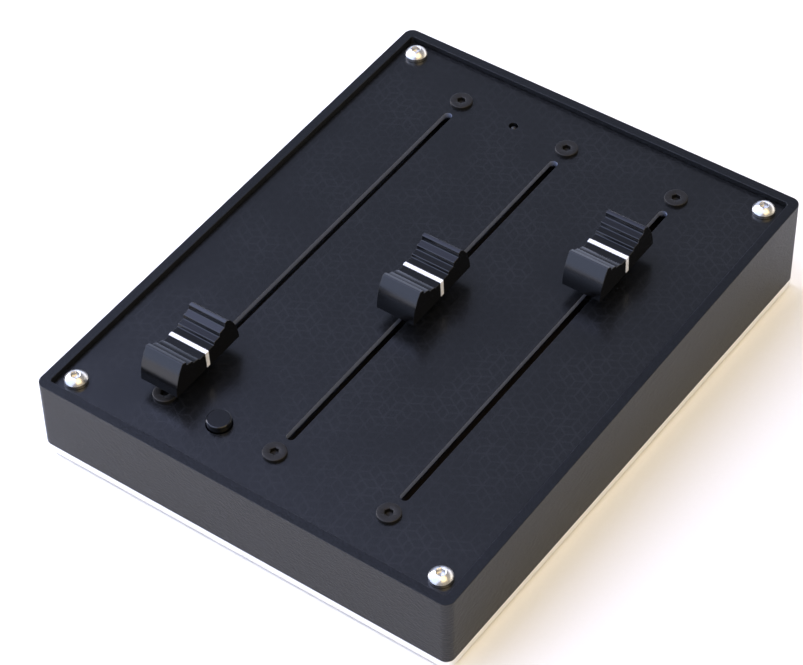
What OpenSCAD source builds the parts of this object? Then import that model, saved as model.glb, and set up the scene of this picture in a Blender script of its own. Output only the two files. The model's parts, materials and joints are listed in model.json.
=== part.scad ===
// Desktop controller with three long faders, one push button and one indicator lamp.
// A black wedge-shaped body on a light base plate carries a recessed panel that leans back.
// The faders, the button and the lamp stand on one circuit board below the panel.

/* [Case] */
// Distance from an outer fader to the side of the case
side_margin = 26.75; // [24:0.25:40]
// Distance from a fader screw to the front or rear of the case
end_margin = 15; // [14:0.5:30]
// Height of the black body at the front
front_h = 19.7; // [19:0.1:32]
// Backward lean of the panel in degrees
slope = 2; // [0:0.5:5]
// Radius of the upright corners
corner_r = 2.4; // [1:0.1:4]
// Width of the rim, which is also the wall of the body
rim_w = 2.5; // [2:0.1:3.5]
// Depth of the panel below the rim
panel_recess = 1.5; // [0.6:0.1:3]
// Width of the ledge that carries the panel
ledge_w = 1.6; // [1:0.1:2.5]
// Height of the ledge
ledge_h = 2.4; // [1.5:0.1:4]
// Radius of the corner posts round their screws
post_r = 4.2; // [3.6:0.1:5]
// Radius of the inner corners of the body
inner_r = 0.8; // [0.5:0.1:1.5]

/* [Base] */
// Thickness of the base plate
base_t = 2; // [1.8:0.1:4]
// Diameter of a rubber foot
foot_d = 10; // [6:0.5:14]
// Height of a rubber foot
foot_h = 1; // [0.6:0.1:4]
// Distance from a foot's centre to the sides of the base
foot_inset = 16; // [14:0.5:24]

/* [Panel] */
// Thickness of the panel
panel_t = 1.6; // [1:0.1:2.4]
// Gap between the panel and the rim
panel_gap = 0.2; // [0.1:0.05:0.4]
// Distance from a corner screw to the edges of the panel
corner_inset = 4.1; // [3.6:0.1:6]
// Width of a fader slot
slot_w = 2.3; // [1.8:0.1:3]
// Room left in the slot beyond the lever at the end of its travel
slot_spare = 1; // [0.5:0.1:2]

/* [Faders] */
// Distance between neighbouring faders
fader_pitch = 32; // [28:0.5:40]
// Travel of a fader
fader_travel = 100; // [60:1:110]
// Gap between the carriage at the end of its travel and the collar of the fixing screw
end_clear = 0.7; // [0.4:0.1:3]
// Length of the fader frame beyond its screw
frame_past = 4; // [3.5:0.1:7]
// Width of the fader frame
frame_w = 14; // [13.4:0.2:17]
// Sheet thickness of the fader frame
frame_t = 0.8; // [0.5:0.05:1]
// Diameter of a guide rod
rod_d = 2.5; // [2:0.1:2.8]
// Wall of the carriage outside a guide rod
rod_wall = 0.45; // [0.3:0.05:0.8]
// Length of the sliding carriage
carriage_len = 14; // [11:0.5:18]
// Height of the sliding carriage
carriage_h = 5.2; // [4.6:0.1:6]
// Gap between the carriage and each side of the frame
carriage_gap = 0.5; // [0.3:0.05:0.8]
// Gap between the carriage and the top of the frame
carriage_headroom = 0.6; // [0.3:0.1:1.2]
// Length of the lever along the slot
lever_len = 8; // [6:0.1:9]
// Thickness of the lever
lever_t = 1.2; // [0.8:0.05:1.4]
// Depth of the lever's seat in the carriage
lever_seat = 4; // [3:0.1:4.2]
// Space for the wiper between the carriage and the track
wiper_room = 1.2; // [0.8:0.1:2]
// Thickness of the resistance track's board
track_t = 1.2; // [0.8:0.1:1.6]
// Length of the tapped collar below the frame's top
collar_h = 1.5; // [1:0.1:2]
// Wall of the tapped collar
collar_wall = 0.8; // [0.6:0.1:1.2]
// Distance from the front fixing screw to the row of terminals
terminal_past = 1.5; // [1.2:0.1:2]
// Distance between neighbouring terminals
terminal_pitch = 4; // [3:0.1:4.4]
// Resting place of the left fader, in percent of its travel from the front
fader_1_percent = 0; // [0:0.2:100]
// Resting place of the middle fader, in percent of its travel from the front
fader_2_percent = 48.6; // [0:0.2:100]
// Resting place of the right fader, in percent of its travel from the front
fader_3_percent = 79.2; // [0:0.2:100]

/* [Fader cap] */
// Length of a cap along its slot
cap_len = 23.2; // [20:0.2:28]
// Width of a cap
cap_w = 10.8; // [9:0.1:13]
// Height of the finger dish's floor above the cap's lower edge
dish_h = 5; // [4.6:0.1:7]
// Height of the ridges above the dish's floor
ridge_h = 3.5; // [2.6:0.1:4.5]
// Width of a ridge along the slot
ridge_w = 1.35; // [0.8:0.05:2]
// Gap between the panel and a cap's lower edge
cap_lift = 3.7; // [1.5:0.1:5]
// Radius of a cap's bulging ends
end_r = 13.1; // [11:0.1:20]
// Half the width of the dish's floor
dish_floor = 2.8; // [2:0.1:3.2]
// Run of the slope between two steps
riser = 0.3; // [0.1:0.05:0.6]
// Lean of a step towards the middle of the cap, as a share of the arc's own slope there
step_lean = 0.3; // [0:0.05:0.6]
// Width of the flat land on top of a ridge
ridge_land = 0.25; // [0.1:0.05:0.5]
// Side wall of the hollow cap
cap_wall = 1.3; // [1:0.1:1.8]
// End wall of the hollow cap at its lower edge
cap_end_wall = 1.95; // [1.6:0.05:2.6]
// Thickness of the cap over its hollow
cap_roof = 1.4; // [1.2:0.1:1.8]
// Thickness of the cap over the lever
socket_roof = 0.9; // [0.8:0.1:1.1]
// Wall of the socket that grips the lever
socket_wall = 1.2; // [0.8:0.1:1.6]
// Width of the white index line
line_w = 1.1; // [0.8:0.1:1.8]
// Distance from the cap's lower edge to the ends of the index line
line_end = 0.4; // [0.2:0.1:1]
// Depth of the index line's groove
line_depth = 0.4; // [0.3:0.05:0.5]
// Height of the index line above the cap's surface
line_proud = 0.1; // [0.05:0.05:0.3]

/* [Button and lamp] */
// Diameter of the button
button_d = 6; // [5:0.1:8]
// Height of the button above the panel
button_proud = 1.9; // [0.8:0.1:3]
// Travel of the button
button_travel = 0.5; // [0.2:0.05:0.6]
// Gap between the button and its hole
button_gap = 0.25; // [0.15:0.05:0.5]
// Thickness of the button over its plunger
button_top_t = 2.4; // [1.2:0.1:2.6]
// Width of the collar that keeps the button under the panel
button_lip = 0.8; // [0.6:0.1:1.2]
// Width of the switch below the button
switch_w = 6; // [5.6:0.1:7]
// Height of the switch's moulded body
switch_h = 3.2; // [2.8:0.1:4]
// Diameter of the switch's plunger
plunger_d = 3.5; // [3:0.1:3.8]
// Diameter of the lamp
lamp_d = 2; // [1.8:0.1:4]
// Depth of the lamp's tip below the panel's face
lamp_recess = 0.4; // [0:0.1:1]
// Height of the lamp's body
lamp_h = 5.3; // [4:0.1:6]
// Width of the collar at the lamp's foot
lamp_lip = 0.9; // [0.8:0.05:1.2]

/* [Electronics] */
// Thickness of the circuit board
board_t = 1.6; // [1:0.1:2]
// Clear space between the circuit board and the case
board_gap = 1.4; // [0.8:0.1:2.5]
// Length of the circuit board in front of the faders
board_past = 2; // [1:0.1:4]
// Diameter of a soldered pin
pin_d = 0.9; // [0.6:0.1:1.1]
// Length of a pin below the circuit board
pin_stub = 1; // [0.6:0.1:1.4]
// Width of the USB socket
usb_w = 8.9; // [8:0.1:10]
// Height of the USB socket
usb_h = 3.2; // [2.8:0.1:4]
// Length of the USB socket
usb_len = 7.4; // [6:0.1:9]
// Sheet thickness of the USB socket
usb_wall = 0.3; // [0.2:0.05:0.4]
// Overhang of the USB socket past the circuit board's rear edge
usb_overhang = 0.9; // [0.5:0.1:1.2]
// Width of the opening for the plug in the rear wall
port_w = 13.4; // [11:0.1:15]
// Height of the opening for the plug in the rear wall
port_h = 7.4; // [6:0.1:8]
// Side of the controller chip
chip_w = 10; // [7:0.5:14]
// Distance from the middle of the board to the chip
chip_v = 20; // [10:1:26]
// Distance between the chip and its neighbours on the board
chip_clear = 3; // [2:0.5:6]

/* [Screws and fits] */
// Thread diameter of every screw
screw_d = 3; // [2.5:0.1:3]
// Diameter of a domed head
domed_head_d = 5.7; // [5:0.1:6.4]
// Height of a domed head
domed_head_h = 2.5; // [1.8:0.05:3]
// Height of a domed head's upright side
domed_head_side = 1; // [0.3:0.05:1.2]
// Diameter of a low head
low_head_d = 5.8; // [5:0.1:6.4]
// Height of a low head
low_head_h = 0.8; // [0.5:0.05:1.2]
// Width across the flats of a hexagon socket
socket_af = 2; // [1.5:0.1:2.2]
// Depth of a hexagon socket
socket_depth = 1.1; // [0.8:0.1:1.2]
// Length of a corner screw's shank
corner_screw_len = 8; // [6:0.5:8]
// Outer diameter of a threaded insert
insert_d = 4.2; // [4:0.1:4.6]
// Length of a threaded insert
insert_h = 5; // [3:0.1:5]
// Radial gap between a thread and its hole
thread_gap = 0.05; // [0.02:0.01:0.1]
// Radial gap between a shank and a plain hole
hole_gap = 0.2; // [0.1:0.05:0.4]
// Gap between two pieces that are pressed or inlaid together
snug = 0.02; // [0.01:0.01:0.05]
// Radial gap between a guide rod and the carriage's bore
glide = 0.05; // [0.02:0.01:0.1]
// Gap between the wiper's contacts and the track
wiper_gap = 0.1; // [0.05:0.05:0.3]

/* [Hidden] */
$fn = 64;

// How far a cutter runs past the face that it cuts
over = 1;
sides = [-1, 1];
faders = [1, 2, 3];

// Fader, from the underside of the panel down to the circuit board
collar_d = screw_d + 2 * collar_wall;
screw_v = fader_travel / 2 + carriage_len / 2 + end_clear + collar_d / 2;
frame_len = 2 * (screw_v + frame_past);
frame_h = frame_t + carriage_headroom + carriage_h + wiper_room + track_t;
slot_len = fader_travel + lever_len + 2 * slot_spare;
carriage_w = frame_w - 2 * frame_t - 2 * carriage_gap;
carriage_top = -panel_t - frame_t - carriage_headroom;
carriage_bottom = carriage_top - carriage_h;
rod_spacing = carriage_w - rod_d - 2 * rod_wall;
rod_level = carriage_top - carriage_h / 2;
board_top = -panel_t - frame_h;
board_bottom = board_top - board_t;
track_top = board_top + track_t;
terminal_v = screw_v + terminal_past;
fader_percent = [fader_1_percent, fader_2_percent, fader_3_percent];

// Overall size of the case, from the faders outwards
case_w = 2 * fader_pitch + 2 * side_margin;
case_d = 2 * screw_v + 2 * end_margin;
body_z = foot_h + base_t;
rim_z = body_z + front_h + tan(slope) * case_d / 2;
tall = front_h + tan(slope) * case_d + over;

// Recess, panel and corner screws, in the plane of the panel
recess_w = case_w - 2 * rim_w;
recess_d = case_d / cos(slope) - 2 * rim_w;
panel_w = recess_w - 2 * panel_gap;
panel_d = recess_d - 2 * panel_gap;
panel_y = panel_recess * sin(slope);
corner_u = panel_w / 2 - corner_inset;
corner_v = panel_d / 2 - corner_inset;

// Cap, measured from its own lower edge, with the steps of the dish on an arc from floor to ridge
cap_h = dish_h + ridge_h;
cap_top_half = cap_len / 2 - end_r + sqrt(end_r * end_r - cap_h * cap_h);
ridge_v = cap_top_half - ridge_w;
tread = (ridge_v - dish_floor) / 2;
ridge_middle = ridge_v + ridge_w / 2;
ridge_run = ridge_w - riser / 2 - ridge_land;
dish_r = (ridge_middle * ridge_middle + ridge_h * ridge_h) / (2 * ridge_h);
pocket_h = dish_h - cap_roof;
socket_h = dish_h - socket_roof;
lever_top = cap_lift + socket_h - hole_gap;

// Circuit board outline, clear of the corner posts and the rear wall
board_half_w = corner_u - post_r - board_gap;
wall_v = (case_d / 2 - rim_w - panel_y + board_bottom * sin(slope)) / cos(slope);
board_rear = wall_v - board_gap;
board_front = -(screw_v + frame_past + board_past);
usb_u = fader_pitch / 2;
usb_mouth = board_rear + usb_overhang;
usb_level = board_top + usb_h / 2;
chip_edge = chip_w / 2 + chip_clear;

// Button and lamp stand between the left and middle faders, with the switch's well below the button
key_u = -fader_pitch / 2;
button_v = -screw_v;
lamp_v = screw_v;
shoulder_w = 0.35;
well_d = plunger_d + 2 * shoulder_w + 2 * hole_gap;
well_base = 0.5;
well_floor = board_top + well_base;
dome_h = 0.6;
plunger_bottom = well_floor + button_travel + dome_h;
plunger_top = button_proud - button_top_t;
lamp_bottom = -lamp_recess - lamp_h;
lamp_flange_d = lamp_d + 2 * lamp_lip;
leg_t = 0.3;
leg_w = 0.7;
leg_v = 2.25;
lead_w = 0.5;
lead_u = 1.27;

function fader_u(n) = (n - 2) * fader_pitch;

// Place of a fader's moving group along its travel
function fader_at(n) = (fader_percent[n - 1] / 100 - 0.5) * fader_travel;

// Height of the dish above its floor, on the arc
function step_rise(v) = dish_r - sqrt(dish_r * dish_r - v * v);

// Frame of the panel: u across, v up the slope, w out of the panel's face
module on_panel() {
  translate([0, panel_y, rim_z - panel_recess * cos(slope)])
    rotate([slope, 0, 0])
      children();
}

module at_corners(u, v) {
  for (su = sides, sv = sides)
    translate([su * u, sv * v, 0])
      children();
}

// Profile in the plane of travel and height, drawn out to a width across the fader
module across(width) {
  translate([-width / 2, 0, 0])
    rotate([90, 0, 90])
      linear_extrude(width)
        children();
}

// Places of the base screws, straight below the panel screws where these enter the posts
module at_base_corners() {
  translate([0, panel_y + panel_t * sin(slope), 0])
    at_corners(corner_u, corner_v * cos(slope))
      children();
}

module block(size_u, size_v, low, high) {
  translate([-size_u / 2, -size_v / 2, low])
    cube([size_u, size_v, high - low]);
}

module rounded_rect(w, d, r) {
  square([w - 2 * r, d], center = true);
  square([w, d - 2 * r], center = true);
  for (su = sides, sv = sides)
    translate([su * (w / 2 - r), sv * (d / 2 - r)])
      circle(r);
}

module stadium(width, length) {
  square([width, length - width], center = true);
  for (s = sides)
    translate([0, s * (length - width) / 2])
      circle(d = width);
}

module above_panel(level) {
  on_panel()
    translate([-case_w, -case_d, level])
      cube([2 * case_w, 2 * case_d, tall]);
}

module hex_socket(top) {
  translate([0, 0, top - socket_depth])
    cylinder(d = socket_af / cos(30), h = socket_depth + over, $fn = 6);
}

// Diameter of a round hole that clears a flat or square lead
function round_clear(w, t) = sqrt(w * w + t * t) + 2 * hole_gap;

// Corner post: round towards the inside, square where it runs into the walls
module post_outline() {
  reach = rim_w + panel_gap + corner_inset;
  circle(post_r);
  translate([-post_r, 0])
    square([post_r + reach, reach]);
  translate([0, -post_r])
    square([reach, post_r + reach]);
}

// Body: a wedge with a rim, a ledge under the panel and a post in each corner
module case_shell() {
  difference() {
    translate([0, 0, body_z])
      linear_extrude(tall)
        rounded_rect(case_w, case_d, corner_r);
    above_panel(panel_recess);
    difference() {
      translate([0, 0, body_z - over])
        linear_extrude(tall + over)
          rounded_rect(recess_w, case_d - 2 * rim_w, inner_r);
      above_panel(-panel_t - ledge_h);
    }
    on_panel()
      translate([0, 0, -panel_t])
        linear_extrude(tall)
          rounded_rect(recess_w, recess_d, inner_r);
    on_panel()
      translate([0, 0, -panel_t - ledge_h - over])
        linear_extrude(ledge_h + 2 * over)
          rounded_rect(recess_w - 2 * ledge_w, recess_d - 2 * ledge_w, inner_r);
  }
}

module corner_posts() {
  difference() {
    intersection() {
      translate([0, 0, body_z])
        for (su = sides, sv = sides)
          translate([su * corner_u, panel_y + panel_t * sin(slope) + sv * corner_v * cos(slope), 0])
            linear_extrude(tall)
              mirror([su < 0 ? 1 : 0, 0])
                mirror([0, sv < 0 ? 1 : 0])
                  post_outline();
      translate([0, 0, body_z])
        linear_extrude(tall)
          rounded_rect(case_w - rim_w, case_d - rim_w, corner_r);
    }
    above_panel(-panel_t);
  }
}

module case_body() {
  bore_d = insert_d + 2 * snug;
  bore_h = max(insert_h, corner_screw_len - base_t) + over;
  color("#24262c")
    difference() {
      union() {
        case_shell();
        corner_posts();
      }
      on_panel()
        at_corners(corner_u, corner_v)
          translate([0, 0, -panel_t - bore_h])
            cylinder(d = bore_d, h = bore_h + over);
      at_base_corners()
        translate([0, 0, body_z - over])
          cylinder(d = bore_d, h = bore_h + over);
      on_panel()
        translate([usb_u, usb_mouth - over, usb_level])
          rotate([-90, 0, 0])
            linear_extrude(2 * end_margin)
              rounded_rect(port_w, port_h, 2 * inner_r);
    }
}

module base_plate() {
  sink_d = low_head_d + 2 * hole_gap;
  shank_d = screw_d + 2 * hole_gap;
  color("#d4d3d0")
    translate([0, 0, foot_h])
      difference() {
        linear_extrude(base_t)
          rounded_rect(case_w, case_d, corner_r);
        at_base_corners() {
          translate([0, 0, -over])
            cylinder(d = shank_d, h = base_t + 2 * over);
          rotate_extrude()
            polygon([[0, -over], [sink_d / 2, -over], [sink_d / 2, 0],
              [shank_d / 2, (sink_d - shank_d) / 2], [0, (sink_d - shank_d) / 2]]);
        }
      }
}

// Countersunk screws that come up through the base plate
module base_screws() {
  cone_h = (low_head_d - screw_d) / 2;
  color("#3a3a3c")
    at_base_corners()
      translate([0, 0, foot_h])
        difference() {
          union() {
            cylinder(d1 = low_head_d, d2 = screw_d, h = cone_h);
            cylinder(d = screw_d, h = corner_screw_len);
          }
          mirror([0, 0, 1])
            hex_socket(0);
        }
}

module rubber_feet() {
  edge = foot_h / 4;
  color("#2b2b2b")
    at_corners(case_w / 2 - foot_inset, case_d / 2 - foot_inset)
      rotate_extrude()
        polygon([[0, 0], [foot_d / 2 - edge, 0], [foot_d / 2, edge], [foot_d / 2, foot_h], [0, foot_h]]);
}

module threaded_insert() {
  difference() {
    cylinder(d = insert_d, h = insert_h);
    translate([0, 0, -over])
      cylinder(d = screw_d + 2 * thread_gap, h = insert_h + 2 * over);
  }
}

module panel_inserts() {
  color("#b5965a")
    on_panel()
      at_corners(corner_u, corner_v)
        translate([0, 0, -panel_t - insert_h])
          threaded_insert();
}

module base_inserts() {
  color("#b5965a")
    at_base_corners()
      translate([0, 0, body_z])
        threaded_insert();
}

// Panel with its slots and holes, lying on the ledge and the posts
module top_panel() {
  shank_d = screw_d + 2 * hole_gap;
  color("#30333c")
    on_panel()
      translate([0, 0, -panel_t])
        linear_extrude(panel_t)
          difference() {
            rounded_rect(panel_w, panel_d, inner_r - panel_gap);
            for (n = faders)
              translate([fader_u(n), 0]) {
                stadium(slot_w, slot_len);
                for (s = sides)
                  translate([0, s * screw_v])
                    circle(d = shank_d);
              }
            for (su = sides, sv = sides)
              translate([su * corner_u, sv * corner_v])
                circle(d = shank_d);
            translate([key_u, button_v])
              circle(d = button_d + 2 * button_gap);
            translate([key_u, lamp_v])
              circle(d = lamp_d + 2 * hole_gap);
          }
}

// Domed screws with hexagon sockets in the corners of the panel
module panel_screws() {
  dome = domed_head_h - domed_head_side;
  dome_r = (pow(domed_head_d / 2, 2) + dome * dome) / (2 * dome);
  color("#c9c7c2")
    on_panel()
      at_corners(corner_u, corner_v)
        difference() {
          union() {
            rotate_extrude()
              intersection() {
                translate([0, domed_head_h - dome_r])
                  circle(dome_r);
                square([domed_head_d / 2, domed_head_h]);
              }
            translate([0, 0, -corner_screw_len])
              cylinder(d = screw_d, h = corner_screw_len + domed_head_side);
          }
          hex_socket(domed_head_h);
        }
}

// Flat low-head screws that hold the fader frames to the panel
module fader_screws() {
  edge = 0.25;
  tip = 0.3;
  radius = low_head_d / 2;
  shank = panel_t + frame_t + collar_h + tip;
  color("#3b3a3c")
    on_panel()
      for (n = faders, s = sides)
        translate([fader_u(n), s * screw_v, 0])
          difference() {
            union() {
              rotate_extrude()
                polygon([[0, 0], [radius, 0], [radius, low_head_h - edge],
                  [radius - edge, low_head_h], [0, low_head_h]]);
              translate([0, 0, -shank])
                cylinder(d = screw_d, h = shank + low_head_h / 2);
            }
            hex_socket(low_head_h);
          }
}

// Fader frame: a folded steel channel, open below, with tapped collars for its screws
module fader_frame(n) {
  inner_w = frame_w - 2 * frame_t;
  inner_len = frame_len - 2 * frame_t;
  slot_room = 0.8;
  color("#9a9c9f")
    on_panel()
      translate([fader_u(n), 0, -panel_t])
        difference() {
          union() {
            difference() {
              block(frame_w, frame_len, -frame_h, 0);
              block(inner_w, inner_len, -frame_h - over, -frame_t);
            }
            for (s = sides)
              translate([0, s * screw_v, -frame_t - collar_h])
                cylinder(d = collar_d, h = collar_h + frame_t / 2);
          }
          translate([0, 0, -frame_t - over])
            linear_extrude(frame_t + 2 * over)
              stadium(slot_w + slot_room, slot_len + slot_room);
          for (s = sides)
            translate([0, s * screw_v, -frame_t - collar_h - over])
              cylinder(d = screw_d + 2 * thread_gap, h = frame_t + collar_h + 2 * over);
          for (s = sides)
            translate([s * rod_spacing / 2, 0, rod_level + panel_t])
              rotate([90, 0, 0])
                cylinder(d = rod_d + 2 * snug, h = frame_len + 2 * over, center = true);
        }
}

// Two steel rods that the carriage slides on, held in the end walls of the frame
module fader_guide_rods(n) {
  color("#c2c4c6")
    on_panel()
      for (s = sides)
        translate([fader_u(n) + s * rod_spacing / 2, 0, rod_level])
          rotate([90, 0, 0])
            cylinder(d = rod_d, h = frame_len, center = true);
}

// Laminate board with the resistance track, which closes the frame from below
module fader_track_board(n) {
  track_gap = 0.1;
  color("#5b3a22")
    on_panel()
      translate([fader_u(n), 0, 0])
        difference() {
          block(frame_w - 2 * frame_t - 2 * track_gap, frame_len - 2 * frame_t - 2 * track_gap,
            board_top, track_top);
          terminal_holes();
        }
}

module terminal_holes() {
  for (k = [-1, 0, 1])
    translate([k * terminal_pitch, -terminal_v, board_bottom - over])
      cylinder(d = pin_d + 2 * snug, h = board_t + track_t + 2 * over);
}

// Riveted pins at the front end of the track, soldered into the circuit board
module fader_terminals(n) {
  rivet_h = 0.3;
  color("#c8c6bd")
    on_panel()
      for (k = [-1, 0, 1])
        translate([fader_u(n) + k * terminal_pitch, -terminal_v, 0]) {
          translate([0, 0, board_bottom - pin_stub])
            cylinder(d = pin_d, h = track_top - board_bottom + pin_stub + rivet_h / 2);
          translate([0, 0, track_top])
            cylinder(d = 2 * pin_d, h = rivet_h);
        }
}

// Frame of one fader's moving group at its resting place
module on_carriage(n) {
  on_panel()
    translate([fader_u(n), fader_at(n), 0])
      children();
}

module fader_carriage(n) {
  color("#2a2b2d")
    on_carriage(n)
      difference() {
        block(carriage_w, carriage_len, carriage_bottom, carriage_top);
        for (s = sides)
          translate([s * rod_spacing / 2, 0, rod_level])
            rotate([90, 0, 0])
              cylinder(d = rod_d + 2 * glide, h = carriage_len + 2 * over, center = true);
        block(lever_t + 2 * snug, lever_len + 2 * snug, carriage_top - lever_seat, carriage_top + over);
      }
}

// Steel blade from the carriage up through the slots into the cap
module fader_lever(n) {
  edge = 0.6;
  half = lever_len / 2;
  low = carriage_top - lever_seat;
  color("#aeb0b2")
    on_carriage(n)
      across(lever_t)
        polygon([[-half, low], [half, low], [half, lever_top - edge], [half - edge, lever_top],
          [edge - half, lever_top], [-half, lever_top - edge]]);
}

// Leaf of sprung bronze under the carriage, cut into contact fingers that dip to the track
module fader_wiper(n) {
  leaf = 0.2;
  finger_w = 0.8;
  finger_pitch = 1.6;
  fingers = [-1.5, -0.5, 0.5, 1.5];
  tip_inset = 1;
  finger_run = 3.7;
  tip = carriage_len / 2 - tip_inset;
  root = tip - finger_run;
  toe = 0.6;
  reach = carriage_bottom - track_top - wiper_gap;
  color("#b98d4f")
    on_carriage(n)
      translate([0, 0, carriage_bottom]) {
        block(len(fingers) * finger_pitch, 2 * root, -leaf, 0);
        for (k = fingers)
          translate([k * finger_pitch, 0, 0])
            across(finger_w)
              polygon([[root - toe, 0], [root, 0], [tip, leaf - reach], [tip + toe, 2 * leaf - reach],
                [tip + toe, leaf - reach], [tip, -reach], [root, -leaf], [root - toe, -leaf]]);
      }
}

// Cap: bulging ends, a stepped finger dish between two ridges, hollow below
module cap_outline() {
  centre = cap_len / 2 - end_r;
  intersection() {
    cap_end(centre);
    mirror([1, 0])
      cap_end(centre);
    translate([-cap_len, 0])
      square([2 * cap_len, cap_h]);
  }
}

// Everything behind the bulge of one end
module cap_end(centre) {
  translate([centre, 0])
    circle(end_r);
  translate([centre - 2 * cap_len, -cap_len])
    square([2 * cap_len, 2 * cap_len]);
}

// Slope of a step whose middle lies at v
function step_slope(v) = tan(step_lean * asin(v / dish_r));

// Point of a leaning step, at a distance along it from its middle
function step_point(v, offset) = [v + offset, dish_h + step_rise(v) + offset * step_slope(v)];

// Right half of the dish from the floor to the ridge, one leaning tread to each step
function dish_half() = concat(
  [[dish_floor - riser / 2, dish_h]],
  [for (k = [0, 1], e = sides)
    step_point(dish_floor + (k + 0.5) * tread, e * (tread - riser) / 2)],
  [[ridge_v + riser / 2, cap_h - ridge_run * step_slope(ridge_middle)],
    [ridge_v + riser / 2 + ridge_run, cap_h], [ridge_v + riser / 2 + ridge_run, cap_h + over]]
);

function mirrored(points) = [for (k = [len(points) - 1:-1:0]) [-points[k][0], points[k][1]]];

module dish_outline() {
  polygon(concat(dish_half(), mirrored(dish_half())));
}

module line_strap(gap, proud) {
  inner = cap_w / 2 - line_depth - gap;
  outer = cap_w / 2 + proud;
  block(2 * outer, line_w + 2 * gap, dish_h - line_depth - gap, dish_h + proud);
  for (s = sides)
    translate([s * (inner + outer) / 2, 0, 0])
      block(outer - inner, line_w + 2 * gap, line_end - gap, dish_h);
}

module fader_cap(n) {
  socket_low = 1;
  color("#2b2d36")
    on_carriage(n)
      translate([0, 0, cap_lift])
        difference() {
          union() {
            difference() {
              across(cap_w)
                difference() {
                  cap_outline();
                  dish_outline();
                }
              block(cap_w - 2 * cap_wall, cap_len - 2 * cap_end_wall, -over, pocket_h);
            }
            block(lever_t + 2 * socket_wall, lever_len + 2 * socket_wall,
              socket_low, pocket_h + cap_roof / 2);
          }
          block(lever_t + 2 * snug, lever_len + 2 * snug, -over, socket_h);
          line_strap(snug, over);
        }
}

// White strip inlaid across the dish's floor and down both sides of the cap
module fader_cap_line(n) {
  color("#f2f2f0")
    on_carriage(n)
      translate([0, 0, cap_lift])
        line_strap(0, line_proud);
}

// Circuit board that carries the faders, the switch, the lamp and the socket
module control_board() {
  color("#1f4d33")
    on_panel()
      difference() {
        translate([-board_half_w, board_front, board_bottom])
          cube([2 * board_half_w, board_rear - board_front, board_t]);
        for (n = faders)
          translate([fader_u(n), 0, 0])
            terminal_holes();
        translate([key_u, button_v, board_bottom - over])
          for (su = sides, sv = sides)
            translate([su * (switch_w + leg_t) / 2, sv * leg_v, 0])
              cylinder(d = round_clear(leg_t, leg_w), h = board_t + 2 * over);
        translate([key_u, lamp_v, board_bottom - over])
          for (s = sides)
            translate([s * lead_u, 0, 0])
              cylinder(d = round_clear(lead_w, lead_w), h = board_t + 2 * over);
      }
}

// Flat square chip on the underside of the board, with gull-wing legs on all four sides
module controller_chip() {
  height = 1.4;
  pitch = 0.8;
  bare_end = 1;
  last = floor((chip_w - 2 * bare_end) / pitch);
  leg = 0.37;
  foot = 0.15;
  reach = 1;
  color("#26282a")
    on_panel()
      translate([0, chip_v, board_bottom]) {
        block(chip_w, chip_w, -height - foot, -foot);
        for (turn = [0:90:270])
          rotate([0, 0, turn])
            for (k = [0:last])
              translate([(k - last / 2) * pitch, chip_w / 2, 0])
                across(leg)
                  polygon([[-foot, -height / 2], [reach / 2, -height / 2], [reach / 2, -foot],
                    [reach, -foot], [reach, 0], [reach / 2 - foot, 0],
                    [reach / 2 - foot, foot - height / 2], [-foot, foot - height / 2]]);
      }
}

// Low metal can beside the chip that sets its clock
module crystal() {
  can_w = 3.8;
  can_len = 10.2;
  lip = 0.5;
  can_h = 3.2;
  color("#b9bbbd")
    on_panel()
      translate([0, chip_v + chip_edge + can_w, board_bottom])
        rotate([0, 0, 90]) {
          translate([0, 0, -lip])
            linear_extrude(lip)
              stadium(can_w + 2 * lip, can_len + 2 * lip);
          translate([0, 0, -can_h])
            linear_extrude(can_h)
              stadium(can_w, can_len);
        }
}

// One row of small chips on the underside of the board, in front of the controller chip
module chip_row(row, height) {
  count = 4;
  length = 2;
  width = 1.25;
  pitch = width + chip_clear / 2;
  on_panel()
    translate([0, chip_v - chip_edge - row * (length + chip_clear / 2), board_bottom])
      for (k = [0:count - 1])
        translate([(k - (count - 1) / 2) * pitch, 0, 0])
          block(width, length, -height, 0);
}

module chip_capacitors() {
  height = 0.8;
  color("#a3845c")
    chip_row(0, height);
}

module chip_resistors() {
  height = 0.5;
  color("#2d2d2f")
    chip_row(1, height);
}

// USB socket: a drawn steel shell on the board's rear edge, round a moulded tongue
module usb_shell() {
  color("#c4c6c8")
    on_panel()
      translate([usb_u, usb_mouth - usb_len, usb_level])
        rotate([-90, 0, 0])
          linear_extrude(usb_len)
            difference() {
              rotate(90)
                stadium(usb_h, usb_w);
              rotate(90)
                stadium(usb_h - 2 * usb_wall, usb_w - 2 * usb_wall);
            }
}

module usb_tongue() {
  back = 1.5;
  inset = 0.8;
  tongue_t = 0.7;
  tongue_side = 1.1;
  color("#222222")
    on_panel()
      translate([usb_u, usb_mouth - usb_len, usb_level])
        rotate([-90, 0, 0]) {
          linear_extrude(back)
            rotate(90)
              stadium(usb_h - 2 * usb_wall - 2 * snug, usb_w - 2 * usb_wall - 2 * snug);
          linear_extrude(usb_len - inset)
            square([usb_w - 2 * tongue_side, tongue_t], center = true);
        }
}

// Push switch under the button: moulded body, steel cover, four legs
module switch_body() {
  color("#2a2a2c")
    on_panel()
      translate([key_u, button_v, 0])
        difference() {
          block(switch_w, switch_w, board_top, board_top + switch_h);
          translate([0, 0, well_floor])
            cylinder(d = well_d, h = switch_h);
        }
}

module switch_cover() {
  cover_t = 0.3;
  color("#b4b6b8")
    on_panel()
      translate([key_u, button_v, board_top + switch_h])
        difference() {
          block(switch_w, switch_w, 0, cover_t);
          translate([0, 0, -over])
            cylinder(d = plunger_d + 2 * hole_gap, h = cover_t + 2 * over);
        }
}

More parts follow.
